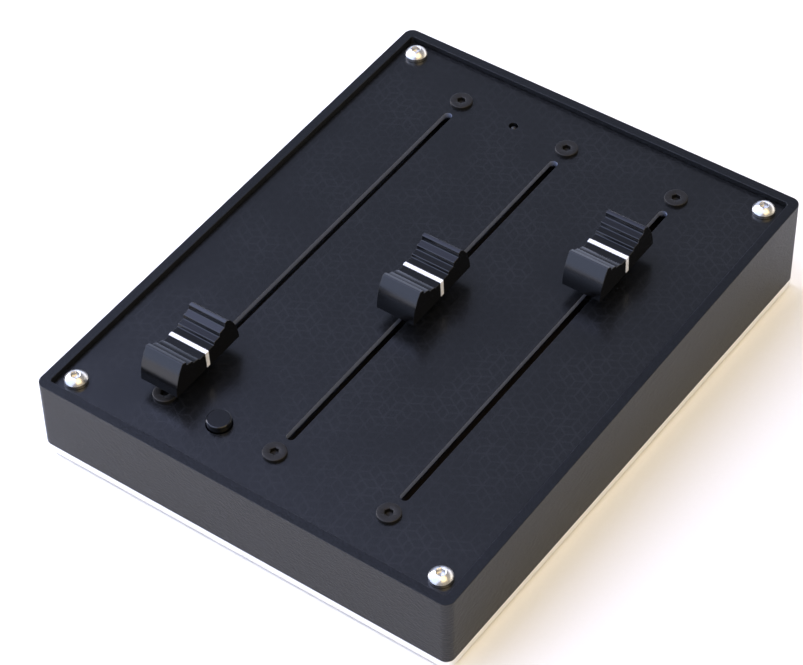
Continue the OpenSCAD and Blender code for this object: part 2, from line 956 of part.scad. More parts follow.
module switch_legs() {
  color("#c8c6bd")
    on_panel()
      translate([key_u, button_v, 0])
        for (su = sides, sv = sides)
          translate([su * (switch_w + leg_t) / 2, sv * leg_v, 0])
            block(leg_t, leg_w, board_bottom - pin_stub, board_top + switch_h / 2);
}

// Plunger with the shoulder that the cover holds back
module switch_plunger() {
  play = 0.1;
  shoulder_t = 0.5;
  color("#3a3a3c")
    on_panel()
      translate([key_u, button_v, 0]) {
        translate([0, 0, plunger_bottom])
          cylinder(d = plunger_d, h = plunger_top - plunger_bottom);
        translate([0, 0, board_top + switch_h - play - shoulder_t])
          cylinder(d = plunger_d + 2 * shoulder_w, h = shoulder_t);
      }
}

// Sprung disc that the plunger bears on
module switch_dome() {
  dome_r = 6;
  leaf = 0.12;
  color("#c7c3b6")
    on_panel()
      translate([key_u, button_v, plunger_bottom - snug - dome_r])
        rotate_extrude()
          intersection() {
            difference() {
              circle(dome_r);
              circle(dome_r - leaf);
            }
            square([well_d / 2 - hole_gap, dome_r]);
          }
}

module button_cap() {
  edge = 0.2;
  radius = button_d / 2;
  bore = plunger_d / 2 + snug;
  lip = radius + button_lip;
  lip_t = 0.6;
  skirt_h = 1.3;
  lip_top = -panel_t - button_gap;
  lip_low = lip_top - lip_t;
  skirt = lip_low - skirt_h;
  color("#2f3139")
    on_panel()
      translate([key_u, button_v, 0])
        rotate_extrude()
          polygon([[0, plunger_top + snug], [bore, plunger_top + snug], [bore, skirt],
            [radius, skirt], [radius, lip_low], [lip, lip_low], [lip, lip_top], [radius, lip_top],
            [radius, button_proud - edge], [radius - edge, button_proud], [0, button_proud]]);
}

// Lamp: a clear moulded body with two leads, held up by a spacer on the board
module led_lens() {
  flange = 0.8;
  color("#4a4a50")
    on_panel()
      translate([key_u, lamp_v, 0]) {
        translate([0, 0, lamp_bottom])
          cylinder(d = lamp_flange_d, h = flange);
        translate([0, 0, lamp_bottom])
          cylinder(d = lamp_d, h = lamp_h - lamp_d / 2);
        translate([0, 0, -lamp_recess - lamp_d / 2])
          sphere(d = lamp_d);
      }
}

module led_leads() {
  color("#c8c6bd")
    on_panel()
      translate([key_u, lamp_v, 0])
        for (s = sides)
          translate([s * lead_u, 0, 0])
            block(lead_w, lead_w, board_bottom - pin_stub, lamp_bottom);
}

module led_spacer() {
  rim = 0.5;
  color("#1c1c1e")
    on_panel()
      translate([key_u, lamp_v, board_top])
        difference() {
          cylinder(d = lamp_flange_d + 2 * rim, h = lamp_bottom - board_top);
          for (s = sides)
            translate([s * lead_u, 0, -over])
              cylinder(d = round_clear(lead_w, lead_w), h = lamp_bottom - board_top + 2 * over);
        }
}

case_body();
base_plate();
base_screws();
rubber_feet();
panel_inserts();
base_inserts();
top_panel();
panel_screws();
fader_screws();
control_board();
controller_chip();
crystal();
chip_capacitors();
chip_resistors();
usb_shell();
usb_tongue();
switch_body();
switch_cover();
switch_legs();
led_lens();
led_leads();
led_spacer();
button_cap();
switch_plunger();
switch_dome();
for (n = faders) {
  fader_frame(n);
  fader_track_board(n);
  fader_guide_rods(n);
  fader_terminals(n);
  fader_carriage(n);
  fader_lever(n);
  fader_wiper(n);
  fader_cap(n);
  fader_cap_line(n);
}
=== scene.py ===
"""Looks of a desktop fader controller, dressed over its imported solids. Metres, in the solids' own frame."""

import json
import math

import bmesh
import bpy
from mathutils import Matrix, Vector


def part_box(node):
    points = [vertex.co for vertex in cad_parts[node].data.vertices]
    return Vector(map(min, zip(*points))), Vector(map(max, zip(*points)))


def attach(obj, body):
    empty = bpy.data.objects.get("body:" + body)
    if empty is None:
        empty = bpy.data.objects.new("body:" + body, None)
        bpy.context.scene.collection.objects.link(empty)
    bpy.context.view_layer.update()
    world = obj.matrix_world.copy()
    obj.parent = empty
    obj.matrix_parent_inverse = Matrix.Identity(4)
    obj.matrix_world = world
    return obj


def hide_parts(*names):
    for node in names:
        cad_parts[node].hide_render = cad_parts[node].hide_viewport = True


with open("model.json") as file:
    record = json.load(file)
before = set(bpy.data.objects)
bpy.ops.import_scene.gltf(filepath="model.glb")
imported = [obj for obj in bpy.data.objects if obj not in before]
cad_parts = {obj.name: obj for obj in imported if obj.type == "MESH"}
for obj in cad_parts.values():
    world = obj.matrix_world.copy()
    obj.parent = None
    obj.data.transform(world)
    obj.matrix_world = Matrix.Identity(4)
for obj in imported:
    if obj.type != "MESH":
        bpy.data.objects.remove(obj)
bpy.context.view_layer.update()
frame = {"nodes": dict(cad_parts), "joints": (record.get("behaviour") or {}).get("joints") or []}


# Case: a one-piece wedge with a rim round the panel and a post in each corner. It is sintered nylon dyed
# black, grown in layers from the base up, and tumbled so that its edges are no longer sharp.
MM = 0.001
WELD = 0.001 * MM
FLAT = math.radians(0.5)
SHARP = math.radians(32)
FLAT_FACE_WEIGHT = 100
CASE_EDGE = 0.3 * MM
CASE_GRAIN = 0.45 * MM
LAYER_PITCH = 0.42 * MM
LAYER_RUN = 1.1 * MM
UPWARD = 0.7
CASE_DARK = "#060709"
CASE_LIGHT = "#131519"
CASE_FINISHES = {
    "side": {"roughness": 0.46, "ior": 1.42, "streaks": 1.0, "tone": (0.75, 1.25), "pit_depth": 0.18 * MM},
    "top": {"roughness": 0.3, "ior": 1.36, "streaks": 0.0, "tone": (0.4, 0.7), "pit_depth": 0.07 * MM},
}


def linear(hex_colour):
    """An sRGB hex colour as linear red, green, blue and alpha."""
    parts = [int(hex_colour[i : i + 2], 16) / 255 for i in (1, 3, 5)]
    return tuple(p / 12.92 if p <= 0.04045 else ((p + 0.055) / 1.055) ** 2.4 for p in parts) + (1.0,)


def add(tree, kind, inputs=None, **settings):
    """Adds a node, sets it up, and links or fills the inputs that are named or numbered."""
    node = tree.nodes.new(kind)
    for name, value in settings.items():
        setattr(node, name, value)
    for socket, value in (inputs or {}).items():
        if isinstance(value, bpy.types.NodeSocket):
            tree.links.new(value, node.inputs[socket])
        else:
            node.inputs[socket].default_value = value
    return node


def new_material(name, shader_values):
    """Starts a material and gives back the material, its tree, its shader and its object coordinates."""
    material = bpy.data.materials.new(name)
    material.use_nodes = True
    tree = material.node_tree
    shader = tree.nodes["Principled BSDF"]
    for socket, value in shader_values.items():
        shader.inputs[socket].default_value = value
    place = add(tree, "ShaderNodeTexCoord").outputs["Object"]
    return material, tree, shader, place


def new_piece(name, mesh):
    """Links a mesh into the scene as a piece at the origin."""
    piece = bpy.data.objects.new(name, mesh)
    bpy.context.scene.collection.objects.link(piece)
    return piece


def settle(piece):
    """Turns a piece and its modifiers into one plain mesh."""
    depsgraph = bpy.context.evaluated_depsgraph_get()
    mesh = bpy.data.meshes.new_from_object(piece.evaluated_get(depsgraph), depsgraph=depsgraph)
    piece.modifiers.clear()
    piece.data = mesh


def eased_copy(name, node, edge, segments=3, reshape=None):
    """A copy of a solid, joined into whole faces, reshaped if need be, and with its edges rounded."""
    solid = frame["nodes"][node].data
    mesh = bpy.data.meshes.new(name)
    mesh.from_pydata([v.co for v in solid.vertices], [], [p.vertices for p in solid.polygons])
    joined = bmesh.new()
    joined.from_mesh(mesh)
    bmesh.ops.remove_doubles(joined, verts=joined.verts, dist=WELD)
    bmesh.ops.dissolve_limit(joined, angle_limit=FLAT, verts=joined.verts, edges=joined.edges)
    if reshape:
        reshape(joined)
    joined.to_mesh(mesh)
    joined.free()
    mesh.shade_smooth()
    piece = new_piece(name, mesh)
    bevel = piece.modifiers.new("eased_edges", "BEVEL")
    bevel.width = edge
    bevel.segments = segments
    bevel.limit_method = "ANGLE"
    bevel.angle_limit = SHARP
    shading = piece.modifiers.new("flat_faces", "WEIGHTED_NORMAL")
    shading.mode = "FACE_AREA"
    shading.weight = FLAT_FACE_WEIGHT
    shading.keep_sharp = True
    settle(piece)
    return piece


def stands_for(piece, body, slot, material, *nodes):
    """Gives a finished piece its material and body, and hides the solids that it stands for. The slot is not
    used.
    """
    if material:
        piece.data.materials.clear()
        piece.data.materials.append(material)
    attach(piece, body)
    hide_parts(*nodes)


# Sintered nylon scatters light off fused powder, so it is matte and finely pitted. The build layers leave
# faint streaks along the sides, which are duller than the top, where each layer lies flat. Powder of 0.06 mm
# and layers of 0.1 mm are too fine to show, so grain and streaks are drawn several times as coarse.
case = eased_copy("printed_case", "case_body", CASE_EDGE)
for finish, look in CASE_FINISHES.items():
    dyed_nylon, tree, shader, place = new_material(
        "dyed_sintered_nylon_" + finish, {"Roughness": look["roughness"], "IOR": look["ior"]})
    grain = add(tree, "ShaderNodeTexNoise", {"Vector": place, "Scale": 1 / CASE_GRAIN, "Detail": 3.0})
    stretch = add(tree, "ShaderNodeMapping", {
        "Vector": place, "Scale": (1 / LAYER_RUN, 1 / LAYER_RUN, 1 / LAYER_PITCH)})
    streak = add(tree, "ShaderNodeTexNoise", {
        "Vector": stretch.outputs["Vector"], "Scale": 1.0, "Detail": 2.0})
    relief = add(tree, "ShaderNodeMath", {
        0: streak.outputs["Fac"], 1: look["streaks"], 2: grain.outputs["Fac"]}, operation="MULTIPLY_ADD")
    tone = add(tree, "ShaderNodeMapRange", {
        "Value": relief.outputs[0], "From Min": look["tone"][0], "From Max": look["tone"][1]})
    colour = add(tree, "ShaderNodeMix", {
        0: tone.outputs["Result"], 6: linear(CASE_DARK), 7: linear(CASE_LIGHT)}, data_type="RGBA")
    pits = add(tree, "ShaderNodeBump", {
        "Height": relief.outputs[0], "Strength": 0.9, "Distance": look["pit_depth"]})
    tree.links.new(colour.outputs[2], shader.inputs["Base Color"])
    tree.links.new(pits.outputs["Normal"], shader.inputs["Normal"])
    case.data.materials.append(dyed_nylon)
for face in case.data.polygons:
    face.material_index = 1 if face.normal.z > UPWARD else 0
stands_for(case, "case", "black_printed_plastic", None, "case_body")


# Threaded inserts: knurled brass bushes, turned and tapped, pressed hot into the posts from above for the
# panel screws and from below for the base screws.
TURNING_PITCH = 0.15 * MM

# Turned brass: warm yellow metal, uneven in tone and gloss where the tool has cut it. The tool marks are
# drawn about twice as coarse as a real feed of 0.08 mm, which wouldn't show.
brass, tree, shader, place = new_material("turned_brass", {"Metallic": 1.0})
turning = add(tree, "ShaderNodeTexNoise", {"Vector": place, "Scale": 1 / TURNING_PITCH, "Detail": 2.0})
dulling = add(tree, "ShaderNodeMapRange", {"Value": turning.outputs["Fac"], "To Min": 0.22, "To Max": 0.42})
colour = add(tree, "ShaderNodeMix", {0: turning.outputs["Fac"], 6: linear("#a98748"), 7: linear("#cbb06f")},
             data_type="RGBA")
tree.links.new(dulling.outputs["Result"], shader.inputs["Roughness"])
tree.links.new(colour.outputs[2], shader.inputs["Base Color"])
for node in ("panel_inserts", "base_inserts"):
    frame["nodes"][node].material_slots[0].material = brass


# Top panel: a sheet of black glass-fibre laminate with a satin lacquer on both faces, routed to shape with
# its slots and holes. It lies on the ledge inside the rim.
ROOT_3 = math.sqrt(3)
HEXAGON_SIDE = 2.7 * MM
HEXAGON_W = ROOT_3 * HEXAGON_SIDE
LINE_WIDTH = 0.32 * MM
LINE_RELIEF = 0.3
PATTERN_SHIFT = 64
CENTRE_NUDGE = 0.13
CENTRE_SNAP = 0.25
LACQUER_MOTTLE = 14 * MM
LACQUER_GRAIN = 0.2 * MM
FINE_RELIEF = 0.02 * MM
PANEL_EDGE = 0.12 * MM
FIBRE = 0.35 * MM
EDGE_ON = 0.3
HOLE_MARGIN = 2 * MM

across_case = Vector((1, 0, 0))
along = Vector(frame["joints"][0]["axis"]).normalized()
out = across_case.cross(along)
panel_points = [v.co for v in frame["nodes"]["top_panel"].data.vertices]
panel_top = max(out.dot(p) for p in panel_points)
panel_ends = [along.dot(p) for p in panel_points]
panel_mid = (min(panel_ends) + max(panel_ends)) / 2
panel_centre = along * panel_mid + out * panel_top
lean = math.atan2(along.z, along.y)

# Satin lacquer over laminate: near black with a soft sheen. Hexagon lines under the lacquer, each cell with
# three spokes, show only as a hint of relief and tone. The lines and the grain of the lacquer are drawn
# coarser than real ones, which would be lost.
lacquer, tree, shader, place = new_material("satin_black_lacquer", {"IOR": 1.5})
cells = (1.0, ROOT_3, 1.0)
half_cells = (0.5, ROOT_3 / 2, 0.0)
along_spoke = (-ROOT_3 / 2, 0.5, 0.0)
spread = add(tree, "ShaderNodeMapping", {
    "Vector": place, "Location": (PATTERN_SHIFT, PATTERN_SHIFT, 0),
    "Scale": (1 / HEXAGON_W, 1 / HEXAGON_W, 0)})
near_a = add(tree, "ShaderNodeVectorMath", {0: spread.outputs[0], 1: cells}, operation="MODULO")
near_a = add(tree, "ShaderNodeVectorMath", {0: near_a.outputs[0], 1: half_cells}, operation="SUBTRACT")
near_b = add(tree, "ShaderNodeVectorMath", {0: spread.outputs[0], 1: half_cells}, operation="SUBTRACT")
near_b = add(tree, "ShaderNodeVectorMath", {0: near_b.outputs[0], 1: cells}, operation="MODULO")
near_b = add(tree, "ShaderNodeVectorMath", {0: near_b.outputs[0], 1: half_cells}, operation="SUBTRACT")
far_a = add(tree, "ShaderNodeVectorMath", {0: near_a.outputs[0]}, operation="LENGTH")
far_b = add(tree, "ShaderNodeVectorMath", {0: near_b.outputs[0]}, operation="LENGTH")
pick = add(tree, "ShaderNodeMath", {
    0: far_a.outputs["Value"], 1: far_b.outputs["Value"]}, operation="LESS_THAN")
cell = add(tree, "ShaderNodeMix", {
    0: pick.outputs[0], 4: near_b.outputs[0], 5: near_a.outputs[0]}, data_type="VECTOR")
# Each cell's centre is rounded off, so that the whole cell draws one chance and turns its spokes as one.
centre = add(tree, "ShaderNodeVectorMath", {0: spread.outputs[0], 1: cell.outputs[1]}, operation="SUBTRACT")
centre = add(tree, "ShaderNodeVectorMath", {
    0: centre.outputs[0], 1: (CENTRE_NUDGE, CENTRE_NUDGE, 0.0)}, operation="ADD")
centre = add(tree, "ShaderNodeVectorMath", {
    0: centre.outputs[0], 1: (CENTRE_SNAP, CENTRE_SNAP, 1.0)}, operation="SNAP")
chance = add(tree, "ShaderNodeTexWhiteNoise", {"Vector": centre.outputs[0]}, noise_dimensions="3D")
turned = add(tree, "ShaderNodeMath", {0: chance.outputs["Value"], 1: 0.5}, operation="GREATER_THAN")
sign = add(tree, "ShaderNodeMath", {0: turned.outputs[0], 1: 2.0, 2: -1.0}, operation="MULTIPLY_ADD")
parts = add(tree, "ShaderNodeSeparateXYZ", {0: cell.outputs[1]})
side = add(tree, "ShaderNodeMath", {0: parts.outputs["X"]}, operation="ABSOLUTE")
up = add(tree, "ShaderNodeMath", {0: parts.outputs["Y"], 1: sign.outputs[0]}, operation="MULTIPLY")
down = add(tree, "ShaderNodeMath", {0: up.outputs[0], 1: -1.0}, operation="MULTIPLY")
folded = add(tree, "ShaderNodeCombineXYZ", {"X": side.outputs[0], "Y": up.outputs[0]})
quarter = add(tree, "ShaderNodeVectorMath", {0: folded.outputs[0]}, operation="ABSOLUTE")
slant = add(tree, "ShaderNodeVectorMath", {0: quarter.outputs[0], 1: half_cells}, operation="DOT_PRODUCT")
reach = add(tree, "ShaderNodeMath", {0: side.outputs[0], 1: slant.outputs["Value"]}, operation="MAXIMUM")
outline = add(tree, "ShaderNodeMath", {0: 0.5, 1: reach.outputs[0]}, operation="SUBTRACT")
stem = add(tree, "ShaderNodeMath", {0: side.outputs[0], 1: down.outputs[0]}, operation="MAXIMUM")
across = add(tree, "ShaderNodeVectorMath", {0: folded.outputs[0], 1: half_cells}, operation="DOT_PRODUCT")
across = add(tree, "ShaderNodeMath", {0: across.outputs["Value"]}, operation="ABSOLUTE")
before = add(tree, "ShaderNodeVectorMath", {0: folded.outputs[0], 1: along_spoke}, operation="DOT_PRODUCT")
arm = add(tree, "ShaderNodeMath", {0: across.outputs[0], 1: before.outputs["Value"]}, operation="MAXIMUM")
spokes = add(tree, "ShaderNodeMath", {0: stem.outputs[0], 1: arm.outputs[0]}, operation="MINIMUM")
nearest = add(tree, "ShaderNodeMath", {0: outline.outputs[0], 1: spokes.outputs[0]}, operation="MINIMUM")
line = add(tree, "ShaderNodeMapRange", {
    "Value": nearest.outputs[0], "From Min": 0.0, "From Max": LINE_WIDTH / HEXAGON_W,
    "To Min": 1.0, "To Max": 0.0})
mottle = add(tree, "ShaderNodeTexNoise", {"Vector": place, "Scale": 1 / LACQUER_MOTTLE, "Detail": 2.0})
worn = add(tree, "ShaderNodeMapRange", {
    "Value": mottle.outputs["Fac"], "From Min": 0.3, "From Max": 0.6, "To Min": 0.25})
shown = add(tree, "ShaderNodeMath", {0: line.outputs[0], 1: worn.outputs[0]}, operation="MULTIPLY")
colour = add(tree, "ShaderNodeMix", {0: shown.outputs[0], 6: linear("#0a0b0d"), 7: linear("#16171a")},
             data_type="RGBA")
sheen = add(tree, "ShaderNodeMapRange", {"Value": mottle.outputs["Fac"], "To Min": 0.22, "To Max": 0.28})
grain = add(tree, "ShaderNodeTexNoise", {"Vector": place, "Scale": 1 / LACQUER_GRAIN, "Detail": 2.0})
relief = add(tree, "ShaderNodeMath", {
    0: shown.outputs[0], 1: LINE_RELIEF, 2: grain.outputs["Fac"]}, operation="MULTIPLY_ADD")
bumps = add(tree, "ShaderNodeBump", {"Height": relief.outputs[0], "Strength": 0.25, "Distance": FINE_RELIEF})
tree.links.new(colour.outputs[2], shader.inputs["Base Color"])
tree.links.new(sheen.outputs["Result"], shader.inputs["Roughness"])
tree.links.new(bumps.outputs["Normal"], shader.inputs["Normal"])

# Routed laminate: bare glass fibre and resin, a dull grey with a fine mottle, seen on the slots' walls.
routed_edge, tree, shader, place = new_material("routed_laminate_edge", {"Roughness": 0.6, "IOR": 1.52})
fibres = add(tree, "ShaderNodeTexNoise", {"Vector": place, "Scale": 1 / FIBRE, "Detail": 3.0})
colour = add(tree, "ShaderNodeMix", {0: fibres.outputs["Fac"], 6: linear("#565c6b"), 7: linear("#787f90")},
             data_type="RGBA")
tree.links.new(colour.outputs[2], shader.inputs["Base Color"])

panel = eased_copy("lacquered_panel", "top_panel", PANEL_EDGE, 2)
panel.data.materials.append(lacquer)
panel.data.materials.append(routed_edge)
lens_low, lens_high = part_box("led_lens")
# The lamp hole's walls take the black lacquer rather than the grey laminate of the slots' walls: painted
# shade in the hole.
for face in panel.data.polygons:
    lamp_hole_painted_dark = lens_low.x - HOLE_MARGIN < face.center.x < lens_high.x + HOLE_MARGIN
    face.material_index = 0 if lamp_hole_painted_dark or abs(face.normal.dot(out)) > EDGE_ON else 1
stands_for(panel, "case", "black_panel", None, "top_panel")


# Fader mechanisms: each has a folded and zinc-plated steel channel, a printed track board, two ground steel
# rods, a black nylon carriage with a bronze wiper, and a flat steel lever that comes up through the slots.
SPANGLE = 2.5 * MM

# Zinc plate: cool grey metal in patches of crystal that differ a little in tone and gloss.
zinc, tree, shader, place = new_material("zinc_plated_steel", {"Metallic": 1.0})
spangle = add(tree, "ShaderNodeTexVoronoi", {"Vector": place, "Scale": 1 / SPANGLE})
colour = add(tree, "ShaderNodeMix", {
    0: spangle.outputs["Color"], 6: linear("#6f7275"), 7: linear("#8d9094")}, data_type="RGBA")
dulling = add(tree, "ShaderNodeMapRange", {
    "Value": spangle.outputs["Distance"], "To Min": 0.35, "To Max": 0.5})
tree.links.new(colour.outputs[2], shader.inputs["Base Color"])
tree.links.new(dulling.outputs["Result"], shader.inputs["Roughness"])

# Paper laminate under a printed carbon track: brown-black and dull, with its paper fibre drawn coarse.
laminate, tree, shader, place = new_material("carbon_printed_laminate", {"Roughness": 0.55, "IOR": 1.52})
fibres = add(tree, "ShaderNodeTexNoise", {"Vector": place, "Scale": 1 / FIBRE, "Detail": 4.0})
colour = add(tree, "ShaderNodeMix", {0: fibres.outputs["Fac"], 6: linear("#1c1612"), 7: linear("#2b211a")},
             data_type="RGBA")
tree.links.new(colour.outputs[2], shader.inputs["Base Color"])

# Ground steel: bright, with the fine scratches of centreless grinding, drawn coarse enough to show.
ground_steel, tree, shader, place = new_material(
    "ground_steel", {"Metallic": 1.0, "Base Color": linear("#b9bcc0")})
scratches = add(tree, "ShaderNodeTexNoise", {"Vector": place, "Scale": 1 / TURNING_PITCH, "Detail": 1.0})
dulling = add(tree, "ShaderNodeMapRange", {
    "Value": scratches.outputs["Fac"], "To Min": 0.12, "To Max": 0.25})
tree.links.new(dulling.outputs["Result"], shader.inputs["Roughness"])

# Moulded nylon: black with a soft, slightly uneven sheen.
MOULD_MOTTLE = 3 * MM
black_nylon, tree, shader, place = new_material("moulded_black_nylon", {"IOR": 1.53})
mottle = add(tree, "ShaderNodeTexNoise", {"Vector": place, "Scale": 1 / MOULD_MOTTLE})
colour = add(tree, "ShaderNodeMix", {0: mottle.outputs["Fac"], 6: linear("#0d0d0e"), 7: linear("#161617")},
             data_type="RGBA")
dulling = add(tree, "ShaderNodeMapRange", {"Value": mottle.outputs["Fac"], "To Min": 0.35, "To Max": 0.5})
tree.links.new(colour.outputs[2], shader.inputs["Base Color"])
tree.links.new(dulling.outputs["Result"], shader.inputs["Roughness"])

# Sprung bronze: warm brown-gold metal with the uneven sheen of rolled strip.
bronze, tree, shader, place = new_material("rolled_bronze", {"Metallic": 1.0})
rolled = add(tree, "ShaderNodeTexNoise", {"Vector": place, "Scale": 1 / FIBRE, "Detail": 2.0})
colour = add(tree, "ShaderNodeMix", {0: rolled.outputs["Fac"], 6: linear("#8a5f33"), 7: linear("#b07f49")},
             data_type="RGBA")
dulling = add(tree, "ShaderNodeMapRange", {"Value": rolled.outputs["Fac"], "To Min": 0.25, "To Max": 0.4})
tree.links.new(colour.outputs[2], shader.inputs["Base Color"])
tree.links.new(dulling.outputs["Result"], shader.inputs["Roughness"])

# Tinned metal: soft silver with the small ripples of dipped tin.
TIN_RIPPLE = 0.8 * MM
tinned, tree, shader, place = new_material("tinned_metal", {"Metallic": 1.0})
ripple = add(tree, "ShaderNodeTexNoise", {"Vector": place, "Scale": 1 / TIN_RIPPLE, "Detail": 2.0})
colour = add(tree, "ShaderNodeMix", {0: ripple.outputs["Fac"], 6: linear("#a9aaab"), 7: linear("#c9c9c7")},
             data_type="RGBA")
dulling = add(tree, "ShaderNodeMapRange", {"Value": ripple.outputs["Fac"], "To Min": 0.2, "To Max": 0.38})
tree.links.new(colour.outputs[2], shader.inputs["Base Color"])
tree.links.new(dulling.outputs["Result"], shader.inputs["Roughness"])

FADERS = (1, 2, 3)
mechanism = {"frame": zinc, "lever": zinc, "track_board": laminate, "guide_rods": ground_steel,
             "carriage": black_nylon, "wiper": bronze, "terminals": tinned}
for n in FADERS:
    for part, material in mechanism.items():
        frame["nodes"][f"fader_{n}_{part}"].material_slots[0].material = material


# Control board: green glass-fibre circuit board carrying the chip, the crystal and rows of small capacitors
# and resistors on its underside. The fader terminals are soldered through it.
TRACK_PITCH = 1.27 * MM

# Solder mask: smooth green lacquer, lighter over the copper tracks and darker between them.
board_green, tree, shader, place = new_material("green_solder_mask", {"Roughness": 0.35, "IOR": 1.5})
tracks = add(tree, "ShaderNodeTexBrick", {
    "Vector": place, "Scale": 1 / TRACK_PITCH, "Mortar Size": 0.12, "Brick Width": 6.0, "Row Height": 1.0,
    "Color1": linear("#1c5a38"), "Color2": linear("#20623d"), "Mortar": linear("#164a2e")})
tree.links.new(tracks.outputs["Color"], shader.inputs["Base Color"])

# Filled epoxy of the chip and the moulded switch and socket parts: dark grey, its fine speckle drawn coarse.
SPECKLE = 0.3 * MM
epoxy, tree, shader, place = new_material("filled_black_epoxy", {"Roughness": 0.5, "IOR": 1.55})
speckle = add(tree, "ShaderNodeTexNoise", {"Vector": place, "Scale": 1 / SPECKLE, "Detail": 3.0})
colour = add(tree, "ShaderNodeMix", {0: speckle.outputs["Fac"], 6: linear("#161617"), 7: linear("#2a2a2c")},
             data_type="RGBA")
tree.links.new(colour.outputs[2], shader.inputs["Base Color"])

# Fired ceramic of the capacitors: tan and half dull, with a soft grain drawn coarse.
ceramic, tree, shader, place = new_material("fired_tan_ceramic", {"Roughness": 0.45, "IOR": 1.6})
speckle = add(tree, "ShaderNodeTexNoise", {"Vector": place, "Scale": 1 / SPECKLE})
colour = add(tree, "ShaderNodeMix", {0: speckle.outputs["Fac"], 6: linear("#9a7d55"), 7: linear("#b4966b")},
             data_type="RGBA")
tree.links.new(colour.outputs[2], shader.inputs["Base Color"])

board_finishes = {"control_board": board_green, "controller_chip": epoxy, "chip_resistors": epoxy,
                  "chip_capacitors": ceramic, "crystal": tinned}
for node, material in board_finishes.items():
    frame["nodes"][node].material_slots[0].material = material


# Data socket: a folded and tinned steel shell round a moulded tongue, soldered at the rear edge of the board
# so that its mouth sits in the opening of the rear wall.
SHELL_EDGE = 0.06 * MM
shell = eased_copy("socket_shell", "usb_shell", SHELL_EDGE, 2)
stands_for(shell, "case", "tinned_metal", tinned, "usb_shell")
frame["nodes"]["usb_tongue"].material_slots[0].material = epoxy


# Push switch and lamp: a small moulded switch under its steel cover, with a plunger over a sprung dome, and
# a lamp of smoked resin on two leads and a spacer, just under its hole in the panel.
HAZE = 1.2 * MM

# Smoked resin: cast almost black, with a faint haze under a half-dull skin.
smoked_resin, tree, shader, place = new_material("smoked_resin", {"IOR": 1.54})
haze = add(tree, "ShaderNodeTexNoise", {"Vector": place, "Scale": 1 / HAZE})
colour = add(tree, "ShaderNodeMix", {0: haze.outputs["Fac"], 6: linear("#060607"), 7: linear("#0d0d0f")},
             data_type="RGBA")
gloss = add(tree, "ShaderNodeMapRange", {"Value": haze.outputs["Fac"], "To Min": 0.4, "To Max": 0.55})
tree.links.new(colour.outputs[2], shader.inputs["Base Color"])
tree.links.new(gloss.outputs["Result"], shader.inputs["Roughness"])

small_parts = {"switch_body": epoxy, "switch_plunger": epoxy, "led_spacer": epoxy, "switch_cover": tinned,
               "switch_legs": tinned, "switch_dome": tinned, "led_leads": tinned, "led_lens": smoked_resin}
for node, material in small_parts.items():
    frame["nodes"][node].material_slots[0].material = material


# Fader screws: six low-head socket screws of black-oxide steel that come down through the panel and hold the
# fader frames up against it. Heads are turned, the sockets are broached.
TURNS = 48
ARC_RINGS = 5
LOW_HEAD_D = 5.8 * MM
LOW_HEAD_H = 0.8 * MM
LOW_HEAD_EDGE = 0.22 * MM
SHANK_D = 3.0 * MM
SOCKET_AF = 2.0 * MM
SOCKET_DEPTH = 1.1 * MM
SOCKET_MOUTH = 0.08 * MM
SOCKET_MOUTH_R = SOCKET_AF / ROOT_3 + SOCKET_MOUTH
DRILL_R = 0.84 * MM
DRILL_TIP_R = 0.084 * MM
DRILL_TIP_DEPTH = 0.294 * MM
THREAD_PITCH = 0.5 * MM
THREAD_DEPTH = 0.25 * MM
TIP_TAPER = 0.15 * MM
TIP_RUN = 0.3 * MM


def ring(radius, height):
    """Points round a circle."""
    steps = [2 * math.pi * k / TURNS for k in range(TURNS)]
    return [(radius * math.cos(a), radius * math.sin(a), height) for a in steps]


def hex_ring(flats, height):
    """The same count of points round a hexagon."""
    sixth = math.pi / 3
    steps = [2 * math.pi * k / TURNS for k in range(TURNS)]
    reach = [flats / 2 / math.cos((a % sixth) - sixth / 2) for a in steps]
    return [(r * math.cos(a), r * math.sin(a), height) for r, a in zip(reach, steps)]


def rounded_rim(outer_r, top, radius):
    """Rings round an edge that turns from an upright side to a level top."""
    steps = [math.pi / 2 * k / (ARC_RINGS - 1) for k in range(ARC_RINGS)]
    middle_r = outer_r - radius
    middle_h = top - radius
    return [ring(middle_r + radius * math.cos(a), middle_h + radius * math.sin(a)) for a in steps]


def lofted(name, rings):
    """A closed mesh through rings of points, from the lowest outside ring over the top to the middle."""
    mesh = bpy.data.meshes.new(name)
    count = len(rings[0])
    points = [p for points in rings for p in points]
    faces = [
        [i * count + k, i * count + (k + 1) % count, (i + 1) * count + (k + 1) % count, (i + 1) * count + k]
        for i in range(len(rings) - 1) for k in range(count)
    ]
    faces.append(list(range(count))[::-1])
    faces.append([(len(rings) - 1) * count + k for k in range(count)])
    mesh.from_pydata(points, [], faces)
    mesh.shade_smooth()
    mesh.set_sharp_from_angle(angle=SHARP)
    return mesh


def socket(top):
    """Rings of a broached hexagon socket with a small countersunk mouth and a drilled bottom."""
    bottom = top - SOCKET_DEPTH
    return [ring(SOCKET_MOUTH_R, top), hex_ring(SOCKET_AF, top - SOCKET_MOUTH), hex_ring(SOCKET_AF, bottom),
            ring(DRILL_R, bottom), ring(DRILL_TIP_R, bottom - DRILL_TIP_DEPTH)]


def shank(length, under):
    """Rings of a rolled thread, drawn as ridges, from the tip up to the underside of the head."""
    root = SHANK_D / 2 - THREAD_DEPTH
    count = int((length - 2 * THREAD_PITCH) / THREAD_PITCH)
    rings = [ring(root - TIP_TAPER, under - length), ring(root, under - length + TIP_RUN)]
    for k in range(count):
        low = under - length + (k + 1) * THREAD_PITCH
        rings += [ring(root, low), ring(SHANK_D / 2, low + THREAD_PITCH / 2)]
    return rings + [ring(root, under - THREAD_PITCH / 2), ring(root, under)]


